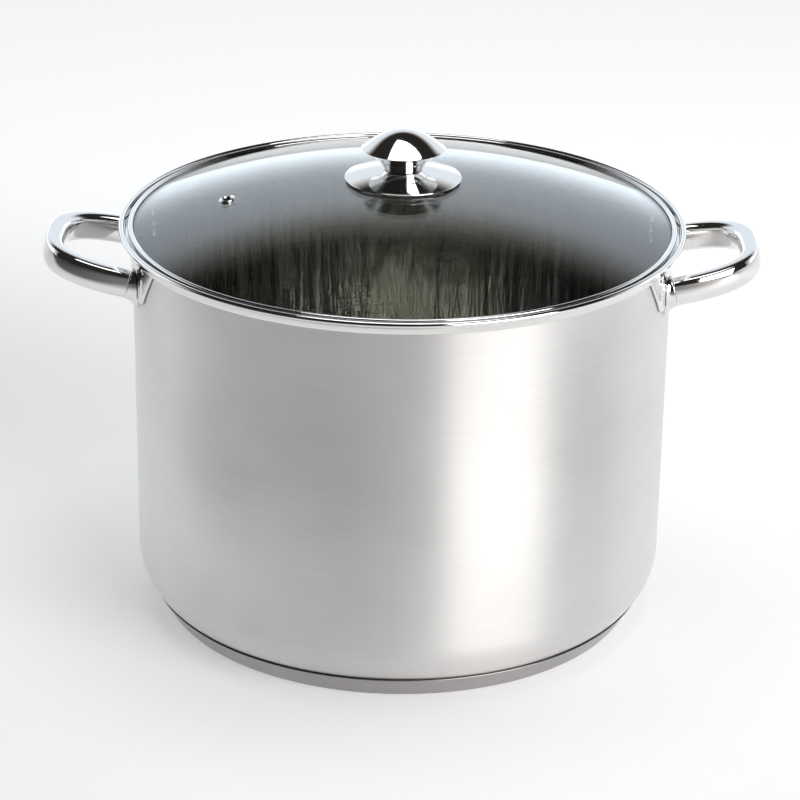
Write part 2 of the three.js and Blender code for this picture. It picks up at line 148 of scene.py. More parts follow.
def dome_line(radius, start, end, steps):
    distances = [start + (end - start) * i / steps for i in range(steps + 1)]
    return [(d, dome_height(radius, d)) for d in distances]


def oval(half_x, half_y, squareness, steps, edge_squareness=None):
    """A superellipse. edge_squareness, if given, applies to the quadrant of +x and +y."""
    points = []
    for i in range(steps):
        angle = 2 * math.pi * i / steps
        c, s = math.cos(angle), math.sin(angle)
        power = squareness
        if edge_squareness and c > 0 and s > 0:
            power = squareness + (edge_squareness - squareness) * math.sin(2 * angle)
        points.append((half_x * signed_power(c, 2 / power), half_y * signed_power(s, 2 / power)))
    return points


def signed_power(value, power):
    return math.copysign(abs(value) ** power, value)


def smooth_step(value, start, end):
    t = min(1, max(0, (value - start) / (end - start)))
    return t * t * (3 - 2 * t)


# ---- meshes ----
def finished(name, body, mesh_data, material):
    """Turns a bmesh in millimetres into a piece in metres that stands for the CAD node."""
    bmesh.ops.recalc_face_normals(mesh_data, faces=mesh_data.faces)
    bmesh.ops.scale(mesh_data, vec=(MM, MM, MM), verts=mesh_data.verts)
    mesh = bpy.data.meshes.new(name)
    mesh_data.to_mesh(mesh)
    mesh_data.free()
    for polygon in mesh.polygons:
        polygon.use_smooth = True
    mesh.set_sharp_from_angle(angle=CREASE)
    mesh.materials.append(material)
    piece = bpy.data.objects.new(name + "_fine", mesh)
    bpy.context.scene.collection.objects.link(piece)
    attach(piece, body)
    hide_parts(name)
    return piece


def turned(outline, angles=KNOB_FACETS, closed=True):
    """A bmesh of an outline of (radius, height) points spun round Z.

    angles is a count of facets, or a list of angles. The attribute "along" holds each point's
    distance along the outline, which is what the brushing follows.
    """
    if isinstance(angles, int):
        angles = [2 * math.pi * i / angles for i in range(angles)]
    spun = bmesh.new()
    layer = spun.verts.layers.float.new("along")
    rings = []
    along = 0
    previous = outline[0]
    for radius, height in outline:
        along += math.hypot(radius - previous[0], height - previous[1])
        previous = (radius, height)
        if radius < 1e-6:
            ring = [spun.verts.new((0, 0, height))]
        else:
            ring = [spun.verts.new((radius * math.cos(a), radius * math.sin(a), height))
                    for a in angles]
        for vert in ring:
            vert[layer] = along * MM
        rings.append(ring)
    pairs = list(zip(rings, rings[1:]))
    if closed:
        pairs.append((rings[-1], rings[0]))
    count = len(angles)
    for first, second in pairs:
        if len(first) == 1 and len(second) == 1:
            continue
        for i in range(count):
            j = (i + 1) % count
            corners = [first[i % len(first)], first[j % len(first)],
                       second[j % len(second)], second[i % len(second)]]
            spun.faces.new(list(dict.fromkeys(corners)))
    return spun


def carved(piece, tool, name, tool_overlaps_itself=False):
    """Cuts a bmesh in millimetres out of a piece, and returns the piece's new mesh."""
    tool.transform(Matrix.Scale(MM, 4))
    tool_mesh = bpy.data.meshes.new(name)
    tool.to_mesh(tool_mesh)
    tool.free()
    cutter = bpy.data.objects.new(name, tool_mesh)
    bpy.context.scene.collection.objects.link(cutter)
    cut = piece.modifiers.new(name, "BOOLEAN")
    cut.object = cutter
    cut.solver = "EXACT"
    cut.use_self = tool_overlaps_itself
    graph = bpy.context.evaluated_depsgraph_get()
    piece_mesh = bpy.data.meshes.new_from_object(piece.evaluated_get(graph))
    piece.modifiers.clear()
    piece.data = piece_mesh
    bpy.data.objects.remove(cutter)
    return piece_mesh


def lofted(sections, capped=True):
    """A bmesh skinned over rings of points, each with the same number of points."""
    skin = bmesh.new()
    rings = [[skin.verts.new(point) for point in section] for section in sections]
    count = len(rings[0])
    for first, second in zip(rings, rings[1:]):
        for i in range(count):
            j = (i + 1) % count
            skin.faces.new((first[i], first[j], second[j], second[i]))
    if capped:
        skin.faces.new(rings[0])
        skin.faces.new(rings[-1])
    return skin


# ---- materials ----
def new_material(name):
    material = bpy.data.materials.new(name)
    material.use_nodes = True
    return material, material.node_tree


def add(tree, kind, settings=None, inputs=None):
    node = tree.nodes.new(kind)
    for key, value in (settings or {}).items():
        setattr(node, key, value)
    for key, value in (inputs or {}).items():
        if isinstance(value, bpy.types.NodeSocket):
            tree.links.new(value, node.inputs[key])
        else:
            node.inputs[key].default_value = value
    return node


def math_node(tree, operation, *values):
    inputs = dict(enumerate(values))
    return add(tree, "ShaderNodeMath", {"operation": operation}, inputs).outputs[0]


def spread(tree, value, start, end, low_out, high_out):
    """Maps start..end to low_out..high_out with smooth ends."""
    node = add(tree, "ShaderNodeMapRange", {"interpolation_type": "SMOOTHSTEP"}, {
        "Value": value, "From Min": start, "From Max": end,
        "To Min": low_out, "To Max": high_out})
    return node.outputs["Result"]


def tinted(tree, factor, first, second):
    node = add(tree, "ShaderNodeMix", {"data_type": "RGBA"})
    tree.links.new(factor, node.inputs[0])
    node.inputs[6].default_value = (*first, 1)
    node.inputs[7].default_value = (*second, 1)
    return node.outputs[2]


def noise(tree, vector, scale, detail=3, roughness=0.5):
    return add(tree, "ShaderNodeTexNoise", None, {
        "Vector": vector, "Scale": scale, "Detail": detail,
        "Roughness": roughness}).outputs["Fac"]


def brushed_lines(tree, across, down):
    """Noise drawn out round the axis: slow round the piece, fast along its outline."""
    place = add(tree, "ShaderNodeTexCoord").outputs["Object"]
    split = add(tree, "ShaderNodeSeparateXYZ", None, {0: place}).outputs
    along = add(tree, "ShaderNodeAttribute", {"attribute_name": "along"}).outputs["Fac"]
    vector = add(tree, "ShaderNodeCombineXYZ", None, {
        0: math_node(tree, "MULTIPLY", split[0], across),
        1: math_node(tree, "MULTIPLY", split[1], across),
        2: math_node(tree, "MULTIPLY", along, down)}).outputs[0]
    return noise(tree, vector, 1, 4, 0.6), place


def brushed_metal(name, dark, light, roughness, anisotropy):
    """Satin steel with brushing round its axis, faint smears and cloudy tone."""
    material, tree = new_material(name)
    shader = tree.nodes["Principled BSDF"]
    lines, place = brushed_lines(tree, 12, 3800)
    coarse, _ = brushed_lines(tree, 4, 900)
    clouds = noise(tree, place, 9, 4)
    tone = math_node(tree, "ADD", math_node(tree, "MULTIPLY", lines, 0.3),
                     math_node(tree, "ADD", math_node(tree, "MULTIPLY", coarse, 0.12),
                               math_node(tree, "MULTIPLY", clouds, 0.58)))
    tree.links.new(tinted(tree, spread(tree, tone, 0.3, 0.7, 0, 1), dark, light),
                   shader.inputs["Base Color"])
    tree.links.new(spread(tree, tone, 0.25, 0.75, roughness + 0.04, roughness - 0.03),
                   shader.inputs["Roughness"])
    grain = math_node(tree, "ADD", lines, math_node(tree, "MULTIPLY", coarse, 0.3))
    bump = add(tree, "ShaderNodeBump", None, {
        "Strength": 0.15, "Distance": 0.00002, "Height": grain})
    tree.links.new(bump.outputs[0], shader.inputs["Normal"])
    shader.inputs["Metallic"].default_value = 1
    shader.inputs["Anisotropic"].default_value = anisotropy
    shader.inputs["Anisotropic Rotation"].default_value = 0.25
    tangent = add(tree, "ShaderNodeTangent", {"direction_type": "RADIAL", "axis": "Z"})
    tree.links.new(tangent.outputs[0], shader.inputs["Tangent"])
    return material


def drawn_metal(name, dark, warm):
    """Inside of the pot: half-polished sheet, wavy round the wall, with warm-toned patches."""
    material, tree = new_material(name)
    shader = tree.nodes["Principled BSDF"]
    streaks, place = brushed_lines(tree, 42, 6)
    fine, _ = brushed_lines(tree, 160, 14)
    rings, _ = brushed_lines(tree, 6, 700)
    patches = noise(tree, place, 14, 3)
    tree.links.new(tinted(tree, spread(tree, patches, 0.42, 0.62, 0, 1), dark, warm),
                   shader.inputs["Base Color"])
    tree.links.new(spread(tree, rings, 0.3, 0.7, 0.2, 0.1), shader.inputs["Roughness"])
    waves = math_node(tree, "ADD", streaks, math_node(tree, "MULTIPLY", fine, 0.12))
    ringed = math_node(tree, "ADD", waves, math_node(tree, "MULTIPLY", rings, 0.02))
    bump = add(tree, "ShaderNodeBump", None, {
        "Strength": 0.9, "Distance": 0.004, "Height": ringed})
    tree.links.new(bump.outputs[0], shader.inputs["Normal"])
    shader.inputs["Metallic"].default_value = 1
    return material


def polished_metal(name, dark, light, roughness):
    """Mirror-polished steel: faint waviness, hairline scratches and smudges."""
    material, tree = new_material(name)
    shader = tree.nodes["Principled BSDF"]
    place = add(tree, "ShaderNodeTexCoord").outputs["Object"]
    clouds = noise(tree, place, 60, 3)
    stretched = add(tree, "ShaderNodeMapping", None, {
        "Vector": place, "Scale": (260, 900, 260), "Rotation": (0.3, 0.5, 0.8)}).outputs[0]
    scratches = spread(tree, noise(tree, stretched, 1, 2), 0.62, 0.75, 0, 1)
    tree.links.new(tinted(tree, clouds, dark, light), shader.inputs["Base Color"])
    wear = math_node(tree, "ADD", math_node(tree, "MULTIPLY", clouds, 0.04),
                     math_node(tree, "MULTIPLY", scratches, 0.05))
    tree.links.new(math_node(tree, "ADD", wear, roughness - 0.02), shader.inputs["Roughness"])
    waves = math_node(tree, "ADD", noise(tree, place, 45, 1),
                      math_node(tree, "MULTIPLY", scratches, 0.02))
    bump = add(tree, "ShaderNodeBump", None, {
        "Strength": 0.2, "Distance": 0.0002, "Height": waves})
    tree.links.new(bump.outputs[0], shader.inputs["Normal"])
    shader.inputs["Metallic"].default_value = 1
    return material


def clear_glass():
    """Clear tempered glass with a slight green-blue tint and a few faint smears."""
    material, tree = new_material("clear_glass")
    shader = tree.nodes["Principled BSDF"]
    place = add(tree, "ShaderNodeTexCoord").outputs["Object"]
    smears = spread(tree, noise(tree, place, 14, 4, 0.6), 0.55, 0.8, 0, 0.008)
    tree.links.new(smears, shader.inputs["Roughness"])
    shader.inputs["Base Color"].default_value = (0.9, 0.955, 0.95, 1)
    shader.inputs["IOR"].default_value = 1.5
    shader.inputs["Transmission Weight"].default_value = 1
    return material


def silicone():
    """Translucent matt silicone."""
    material, tree = new_material("clear_silicone")
    shader = tree.nodes["Principled BSDF"]
    place = add(tree, "ShaderNodeTexCoord").outputs["Object"]
    clouds = noise(tree, place, 300, 2)
    tree.links.new(tinted(tree, clouds, (0.60, 0.59, 0.50), (0.74, 0.73, 0.64)),
                   shader.inputs["Base Color"])
    tree.links.new(spread(tree, clouds, 0.3, 0.7, 0.45, 0.6), shader.inputs["Roughness"])
    shader.inputs["Transmission Weight"].default_value = 0.2
    return material


BRUSHED = brushed_metal("brushed_steel", (0.65, 0.64, 0.632), (0.76, 0.75, 0.742), 0.36, 0.85)
INSIDE = drawn_metal("inner_steel", (0.50, 0.50, 0.50), (0.60, 0.57, 0.49))
FLOOR_STEEL = brushed_metal("floor_steel", (0.46, 0.45, 0.42), (0.60, 0.57, 0.50), 0.26, 0.7)
# The base cap's darker colour is partly the steel's own tone and partly painted shade, standing in
# for the dark surroundings that its low band reflects.
BASE_STEEL_AND_PAINTED_SHADE = brushed_metal("base_steel", (0.36, 0.35, 0.35), (0.46, 0.45, 0.45), 0.34, 0.6)
CORE = brushed_metal("aluminium_core", (0.60, 0.61, 0.62), (0.70, 0.71, 0.72), 0.42, 0.3)
PLAIN = brushed_metal("plain_steel", (0.50, 0.50, 0.51), (0.62, 0.62, 0.63), 0.28, 0.3)
POLISHED = polished_metal("polished_steel", (0.74, 0.735, 0.73), (0.80, 0.795, 0.79), 0.06)
GLASS_MATERIAL = clear_glass()
SILICONE = silicone()


# ---- pot ----
def shell_angles():
    """Even steps round the pot, with finer ones where the tabs are spot-welded on."""
    angles = [2 * math.pi * i / POT_FACETS for i in range(POT_FACETS)]
    fine_half = 5 / WALL_RADIUS
    fine_steps = 10
    for centre in tab_angles():
        near = [centre + fine_half * (2 * i / fine_steps - 1) for i in range(fine_steps + 1)]
        angles = [a for a in angles if abs(turn_between(a, centre)) > fine_half * 1.2]
        angles += [a % (2 * math.pi) for a in near]
    return sorted(angles)


def turn_between(first, second):
    return (first - second + math.pi) % (2 * math.pi) - math.pi


def tab_angles():
    return [side + end * TAB_ANGLE for side in (0, math.pi) for end in (-1, 1)]


WELD_LEVELS = (RIM_TOP - 16, RIM_TOP - 22.5, RIM_TOP - 29)
WELD_RADIUS = 3
WELD_DEPTH = 1.1
WELD_LIP = 0.45


def pot_shell():
    """One drawn sheet. The inner face has the dents of the spot welds behind the tabs."""
    roll_x = RIM_RADIUS - RIM_ROLL
    roll_z = RIM_TOP - RIM_ROLL
    foot = 1.3
    margin = 4
    weld_top = WELD_LEVELS[0] + margin
    weld_bottom = WELD_LEVELS[-1] - margin
    weld_steps = 24
    inner = WALL_RADIUS - SHEET
    welds = [(inner, weld_top + (weld_bottom - weld_top) * i / weld_steps)
             for i in range(weld_steps + 1)]
    outline = [
        (0, FLOOR_BOTTOM),
        (CORNER_X / 2, FLOOR_BOTTOM),
        *arc(CORNER_X, CORNER_Z, CORNER_RADIUS, -90, 0, 18),
        (WALL_RADIUS, (CORNER_Z + LEDGE_BOTTOM) / 2),
        *arc(WALL_RADIUS + SHEET, LEDGE_BOTTOM - SHEET, SHEET, 180, 90, 4),
        *arc(RIM_FOOT_RADIUS - foot, LEDGE_BOTTOM + foot, foot, -90, -8, 6),
        *arc(roll_x, roll_z, RIM_ROLL, -55, 215, 16),
        *arc(RIM_FOOT_RADIUS - foot, LEDGE_BOTTOM + foot, foot - SHEET, -8, -90, 4),
        *arc(WALL_RADIUS + SHEET, LEDGE_BOTTOM - SHEET, 2 * SHEET, 90, 180, 6),
        *welds,
        (inner, (CORNER_Z + weld_bottom) / 2),
        *arc(CORNER_X, CORNER_Z, CORNER_RADIUS - SHEET, 0, -90, 18),
        (CORNER_X / 2, FLOOR_BOTTOM + SHEET),
        (0, FLOOR_BOTTOM + SHEET),
    ]
    shell = turned(outline, shell_angles(), closed=False)
    for vert in shell.verts:
        radius = math.hypot(vert.co.x, vert.co.y)
        if abs(radius - inner) < 0.01 and weld_bottom <= vert.co.z <= weld_top:
            vert.co.xy *= 1 + weld_dent(vert.co) / radius
    piece = finished("pot_shell", "pot", shell, BRUSHED)
    inside_index, rim_index, floor_index = 1, 2, 3
    piece.data.materials.append(INSIDE)
    piece.data.materials.append(POLISHED)
    piece.data.materials.append(FLOOR_STEEL)
    for polygon in piece.data.polygons:
        middle = polygon.center / MM
        distance = math.hypot(middle.x, middle.y)
        on_wall = distance < inner + 0.2 and middle.z > CORNER_Z
        in_bowl = polygon.normal.z > 0.05 and middle.z < CORNER_Z
        if on_wall:
            polygon.material_index = inside_index
        elif in_bowl:
            polygon.material_index = floor_index
        elif middle.z > LEDGE_BOTTOM - 1:
            polygon.material_index = rim_index
    return piece


def weld_dent(place):
    """Depth of a spot weld's dent: a sunk middle with a low raised edge."""
    angle = math.atan2(place.y, place.x)
    aside = min(abs(turn_between(angle, centre)) for centre in tab_angles()) * WALL_RADIUS
    away = min(math.hypot(aside, place.z - level) for level in WELD_LEVELS) / WELD_RADIUS
    if away > 1.3:
        return 0
    sunk = WELD_DEPTH * (1 - smooth_step(away, 0.35, 0.9))
    raised = WELD_LIP * math.exp(-((away - 1) / 0.17) ** 2)
    return sunk - raised


def base_core():
    bottom = low("base_core").z
    outline = [
        (0, bottom),
        (CAP_FLAT_RADIUS - 1, bottom),
        (CAP_FLAT_RADIUS + 3.5, bottom + 2.5),
        *arc(CORNER_X, CORNER_Z, CORNER_RADIUS + GAP, -58, -90, 10),
        (0, high("base_core").z),
    ]
    return finished("base_core", "pot", turned(outline, POT_FACETS, closed=False), CORE)


def base_cap():
    """Steel cup under the base, with a rounded upper edge and two shallow turned rings below."""
    bend = 5
    sheet = 0.6
    rings = []
    for radius in (52, 96):
        rings += [(radius - 1, 0), (radius - 0.5, 0.35), (radius + 0.5, 0.35), (radius + 1, 0)]
    outline = [
        (0, 0),
        *rings,
        *arc(CAP_FLAT_RADIUS, bend, bend, -90, -30, 10),
        *arc(CAP_TOP_RADIUS - sheet / 2, CAP_HEIGHT - sheet / 2, sheet / 2, 0, 180, 6),
        *arc(CAP_FLAT_RADIUS, bend, bend - sheet, -30, -90, 8),
        (0, sheet),
    ]
    # The cap's darker steel colour is partly painted shade.
    return finished("base_cap", "pot", turned(outline, POT_FACETS, closed=False), BASE_STEEL_AND_PAINTED_SHADE)


# ---- handles ----
def handle_frame(side):
    """Places a flat loop drawn along +X so that it rises away from the wall."""
    turn = Matrix.Rotation(0 if side > 0 else math.pi, 4, "Z")
    out = Matrix.Translation((HANDLE_TILT_RADIUS, 0, HANDLE_LEVEL))
    tilt = Matrix.Rotation(-HANDLE_TILT, 4, "Y")
    return turn @ out @ tilt @ Matrix.Translation((-HANDLE_TILT_RADIUS, 0, 0))


def loop_point(t):
    """Centreline of a loop, t from 0 to 1, from one cut end round to the other."""
    angle = math.pi * (t - 0.5)
    out = signed_power(math.cos(angle), 2 / HANDLE_SQUARENESS) if 0 < t < 1 else 0
    span = HANDLE_HALF_SPAN + HANDLE_SPLAY * math.cos(math.pi / 2 * out) ** 2
    return Vector((HANDLE_START + (HANDLE_REACH - HANDLE_START) * out,
                   span * signed_power(math.sin(angle), 2 / HANDLE_SQUARENESS), 0))


def even_loop(steps):
    """Centreline points at even distances."""
    fine = [loop_point(i / 2000) for i in range(2001)]
    lengths = [0]
    for first, second in zip(fine, fine[1:]):
        lengths.append(lengths[-1] + (second - first).length)
    points = []
    index = 0
    for i in range(steps + 1):
        target = lengths[-1] * i / steps
        while index < len(fine) - 2 and lengths[index + 1] < target:
            index += 1
        part = (target - lengths[index]) / (lengths[index + 1] - lengths[index])
        points.append(fine[index].lerp(fine[index + 1], part))
    return points


def handle_tube(side_name, side):
    """Bent oval tube. Its outer face is flattish, with a ridge near its upper edge."""
    steps = 120
    points = even_loop(steps)
    shape = oval(TUBE_HALF_WIDTH, TUBE_HALF_HEIGHT, 2.3, 64, edge_squareness=4.4)
    wall = 1.2
    bore = oval(TUBE_HALF_WIDTH - wall, TUBE_HALF_HEIGHT - wall, 2.3, 64)
    placed = handle_frame(side)
    outer, inner = [], []
    for i, point in enumerate(points):
        ahead = points[min(i + 1, steps)] - points[max(i - 1, 0)]
        if i in (0, steps):
            ahead = Vector((1 if i == 0 else -1, 0, 0))
        outward = ahead.cross(Vector((0, 0, 1))).normalized()
        outer.append([placed @ (point + outward * x + Vector((0, 0, y))) for x, y in shape])
        inner.append([placed @ (point + outward * x + Vector((0, 0, y))) for x, y in bore])
    tube = lofted([*outer, *reversed(inner), outer[0]], capped=False)
    bmesh.ops.remove_doubles(tube, verts=tube.verts, dist=1e-4)
    return finished(f"{side_name}_handle_tube", "pot", tube, POLISHED)


def handle_foot(name, side, end):
    """Ferrule between tube and tab: a slim collar that runs down the tab as a tapering boss."""
    placed = handle_frame(side)
    y = end * (HANDLE_HALF_SPAN + HANDLE_SPLAY)
    tab_face = WALL_RADIUS + 1.8
    last = HANDLE_START - GAP

    def section(grow, droop, place):
        points = []
        for v, u in oval(TUBE_HALF_HEIGHT + grow, TUBE_HALF_WIDTH + grow, 2.3, 48):
            below = max(0, -v / TUBE_HALF_HEIGHT)
            v -= droop * below ** 2
            u *= 1 - 0.06 * droop * below ** 2
            points.append(placed @ Vector((place(y + u, v), y + u, v)))
        return points

    sections = []
    for away, grow, droop in [(0, 1, 3.2), (0.4, 0.9, 3), (0.9, 0.45, 2.6), (1.8, 0.2, 1.8),
                              (3, 0.2, 0.8), (4.4, 0.3, 0.2)]:
        sections.append(section(grow, droop, lambda across, v: min(
            math.sqrt((tab_face + away) ** 2 - across ** 2) + 0.22 * v, last - 0.6)))
    for x, grow in [(last - 0.5, 0.3), (last - 0.15, 0.2), (last, 0)]:
        sections.append(section(grow, 0, lambda across, v: x))
    return finished(name, "pot", lofted(sections), POLISHED)


def mounting_tab(name, side, end):
    """Tab that follows the wall, with rounded edges, two pressed folds and two dimples."""
    top = RIM_TOP - 9
    height = 26.5
    half_width = 30
    foot_half_width = 9
    thick = 1.2
    fold_aside = 12.2
    fold_height = 0.6
    dimple_drop = 3.8
    dimple_depth = 1.15
    columns = 56
    rows = 48
    middle = (0 if side > 0 else math.pi) + end * TAB_ANGLE
    back = WALL_RADIUS + GAP
    faces = {"front": [], "back": []}
    for row in range(rows + 1):
        depth = row / rows
        rounding = 1 - math.sqrt(1 - max(0, (depth - 0.88) / 0.12) ** 2)
        half = half_width * (1 - depth) + foot_half_width * depth - 3 * rounding
        z = top - height * depth
        front_row, back_row = [], []
        for column in range(columns + 1):
            u = 2 * column / columns - 1
            s = half * math.sin(u * math.pi / 2)
            edge = min((1 - abs(math.sin(u * math.pi / 2))) * max(half, 0.5),
                       height * depth + 0.02, (height - height * depth) * 0.8)
            proud = thick * math.sqrt(max(0, 1 - (1 - min(1, edge / 0.8)) ** 2))
            aside = abs(s)
            across_fold = aside - fold_aside + 4 * depth
            fold = fold_height * math.exp(-(across_fold / 1.1) ** 2) * smooth_step(depth, 0.2, 0.4)
            from_dimple = (aside - fold_aside) ** 2 + (z - top + dimple_drop) ** 2
            dimple = dimple_depth * math.exp(-from_dimple / 3.4)
            out = back + max(0.02, proud * (1 - dimple / thick) + fold * min(1, edge))
            angle = middle + s / WALL_RADIUS
            front_row.append((out * math.cos(angle), out * math.sin(angle), z))
            back_row.append((back * math.cos(angle), back * math.sin(angle), z))
        faces["front"].append(front_row)
        faces["back"].append(back_row)
    sections = []
    for front_row, back_row in zip(faces["front"], faces["back"]):
        sections.append([*front_row, *reversed(back_row)])
    tab = lofted(sections)
    bmesh.ops.remove_doubles(tab, verts=tab.verts, dist=0.001)
    return finished(name, "pot", tab, POLISHED)


def handles():
    for side_name, side in (("left", -1), ("right", 1)):
        handle_tube(side_name, side)
        for end_name, end in (("front", -1), ("rear", 1)):
            local_end = side * end
            handle_foot(f"{side_name}_handle_{end_name}_foot", side, local_end)
            mounting_tab(f"{side_name}_handle_{end_name}_tab", side, local_end)


# ---- lid ----
def vent_frame():
    """Places what is drawn at the crown so that it stands on the dome at the vent."""
    lean = math.asin(VENT_DISTANCE / DOME_RADIUS)
    bearing = math.atan2(VENT.y, VENT.x)
    place = Matrix.Translation((VENT.x, VENT.y, dome_height(DOME_RADIUS, VENT_DISTANCE)))
    return place @ Matrix.Rotation(bearing, 4, "Z") @ Matrix.Rotation(lean, 4, "Y")


def lid_glass():
    """The dome, drilled at the crown and at the vent, with the dome's true normals."""
    hole = 4.5
    edge = 0.5
    outline = [
        *dome_line(DOME_RADIUS - GLASS, hole, GLASS_RADIUS - edge, 48),
        *dome_line(DOME_RADIUS, GLASS_RADIUS, hole, 48),
    ]
    dome = turned(outline, POT_FACETS)
    piece = finished("lid_glass", "lid", dome, GLASS_MATERIAL)
    vent_hole = 3.8
    over, under = 3, -9
    drill = turned([(0, under), (vent_hole, under), (vent_hole, over), (0, over)],
                   SMALL_FACETS, closed=False)
    drill.transform(vent_frame())
    bmesh.ops.recalc_face_normals(drill, faces=drill.faces)
    set_dome_normals(carved(piece, drill, "vent_hole"))
    return piece


def set_dome_normals(mesh):
    """Gives the two curved faces of the glass the normals of true spheres."""
    centre = Vector((0, 0, DOME_CENTRE * MM))
    normals = []
    for polygon in mesh.polygons:
        polygon.use_smooth = True
        away = (polygon.center - centre).normalized()
        facing = polygon.normal.dot(away)
        for index in polygon.loop_indices:
            place = mesh.vertices[mesh.loops[index].vertex_index].co
            true = (place - centre).normalized()
            if abs(facing) > 0.9:
                normals.append(true if facing > 0 else -true)
            else:
                normals.append(polygon.normal.copy())
    mesh.normals_split_custom_set(normals)


def lid_band():
    """Steel band folded round the glass: lip, rounded top, outer wall and skirt."""
    sheet = 0.6
    roll = 1.2
    roll_x = BAND_RADIUS - roll
    roll_z = BAND_TOP - roll
    rest = LEDGE_TOP + GAP
    skirt = WALL_RADIUS - SHEET - 0.5
    skirt_bottom = low("lid_band").z
    channel = GLASS_RADIUS + GAP
    lip = GLASS_RADIUS - 0.3
    over = DOME_RADIUS + GAP
    under = DOME_RADIUS - GLASS - GAP
    hollow_top = roll_z + 0.4
    outline = softened([
        (skirt - sheet, dome_height(under, skirt - sheet), 0.1),
        (skirt - sheet, skirt_bottom, 0.2),
        (skirt, skirt_bottom, 0.2),
        (skirt, rest, 0.4),
        (channel + sheet, rest, 0.3),
        (channel + sheet, roll_z - 0.6, 0.2),
        (roll_x - 0.4, hollow_top, 0.2),
        (roll_x + 0.4, hollow_top, 0.2),
        (BAND_RADIUS - sheet, roll_z, 0.2),
        (BAND_RADIUS - sheet, rest, 0.1),
        (BAND_RADIUS, rest, 0.3),
    ])
    outline += arc(roll_x, roll_z, roll, 0, 150, 14)
    outline += [
        (lip, dome_height(over + 0.25, lip)),
        (lip - 0.06, dome_height(over + 0.12, lip)),
        (lip, dome_height(over, lip)),
        (channel, dome_height(over, channel)),
        (channel, dome_height(under, channel)),
    ]
    return finished("lid_band", "lid", turned(outline, POT_FACETS), POLISHED)


def vent():
    """Eyelet through the glass, flanged above and below, and the washer under the glass."""
    below = -GLASS - 1 - 2 * GAP
    outline = softened([
        (2.5, below - 0.8, 0.2),
        (4.2, below - 0.8, 0.2),
        (4.6, below - GAP, 0.1),
        (3.5, below - GAP),
        (3.5, GAP),
        (5, GAP, 0.15),
        (4.8, 0.9, 0.3),
        (3.5, 1.25, 0.3),
        (2.5, 0.7, 0.5),
    ])
    eyelet = turned(outline, SMALL_FACETS)
    eyelet.transform(vent_frame())
    finished("vent_eyelet", "lid", eyelet, POLISHED)
    top = -GLASS - GAP
    washer = turned(softened([
        (3.8, top - 1, 0.2), (5.6, top - 1, 0.3), (5.6, top, 0.3), (3.8, top, 0.2),
    ]), SMALL_FACETS)
    washer.transform(vent_frame())
    finished("vent_washer", "lid", washer, SILICONE)


# ---- knob ----
def plate_height(distance):
    """Height of the domed disc's upper face at a distance from its axis."""
    radius = (PLATE_RADIUS ** 2 + PLATE_CROWN ** 2) / (2 * PLATE_CROWN)
    return PLATE_TOP - radius + math.sqrt(radius ** 2 - distance ** 2)


BORE = 2.8
KNOB_BORE = 9.6
KNOB_WIDEST = PLATE_TOP + 12.2
NECK_FOOT = Vector((11.8, PLATE_TOP))
FLARE_BEND = Vector((14.6, PLATE_TOP + 7))
FLARE_EDGE = Vector((KNOB_RADIUS, KNOB_WIDEST))
NECK_SHARE = 0.375
CAP_SHARE = 0.4


def knob_flare(t):
    """Trumpet-shaped underside of the knob, from its foot at t = 0 to its widest edge."""
    place = NECK_FOOT.lerp(FLARE_BEND, t).lerp(FLARE_BEND.lerp(FLARE_EDGE, t), t)
    return place.x, place.y


def flare_line(start, end, steps):
    return [knob_flare(start + (end - start) * i / steps) for i in range(steps + 1)]


NECK_TOP = knob_flare(NECK_SHARE)[1]
CAP_BASE = knob_flare(CAP_SHARE)[1]


def knob_plate():
    steps = 16
    thick = 1
    places = [BORE + (PLATE_RADIUS - 0.4 - BORE) * i / steps for i in range(steps + 1)]
    lower = [(d, plate_height(d) - thick) for d in places]
    upper = [(d, plate_height(d)) for d in reversed(places)]
    edge = plate_height(PLATE_RADIUS)
    rolled = arc(PLATE_RADIUS - 0.5, edge - thick / 2 + 0.05, 0.5, -80, 80, 8)
    return finished("knob_plate", "lid", turned([*lower, *rolled, *upper], 160), POLISHED)


def cap_line(radius, height, base, steps):
    """Gently pointed crown of the cap, from its widest level to its top."""
    points = []
    for i in range(steps + 1):
        across = math.cos(math.pi / 2 * i / steps) if i < steps else 0
        points.append((radius * across, base + height * (1 - across ** 2) ** 1.1))
    return points


def knob_cap():
    rise = KNOB_TOP - KNOB_WIDEST
    sheet = 1
    seam = knob_flare(CAP_SHARE)[0]
    outline = [
        (KNOB_BORE, CAP_BASE),
        (seam - 0.25, CAP_BASE),
        *flare_line(CAP_SHARE + 0.01, 0.985, 24),
        (KNOB_RADIUS, KNOB_WIDEST),
        *cap_line(KNOB_RADIUS, rise, KNOB_WIDEST, 48)[2:],
        *reversed(cap_line(KNOB_RADIUS - 1.6, rise - sheet, KNOB_WIDEST, 24)),
        (seam - 0.8, CAP_BASE + sheet),
        (KNOB_BORE, CAP_BASE + sheet),
    ]
    return finished("knob_cap", "lid", turned(outline, KNOB_FACETS), POLISHED)


def knob_neck():
    foot_radius = NECK_FOOT.x
    foot = plate_height(foot_radius) + GAP
    sheet = 1
    waist = knob_flare(0.2)
    outline = [
        (foot_radius - sheet, foot),
        (foot_radius - 0.2, foot),
        (foot_radius, foot + 0.2),
        *flare_line(0.02, NECK_SHARE - 0.01, 14),
        (knob_flare(NECK_SHARE)[0] - 0.2, NECK_TOP),
        (KNOB_BORE, NECK_TOP),
        (KNOB_BORE, NECK_TOP - sheet),
        (waist[0] - sheet, waist[1]),
    ]
    return finished("knob_neck", "lid", turned(outline, KNOB_FACETS), POLISHED)


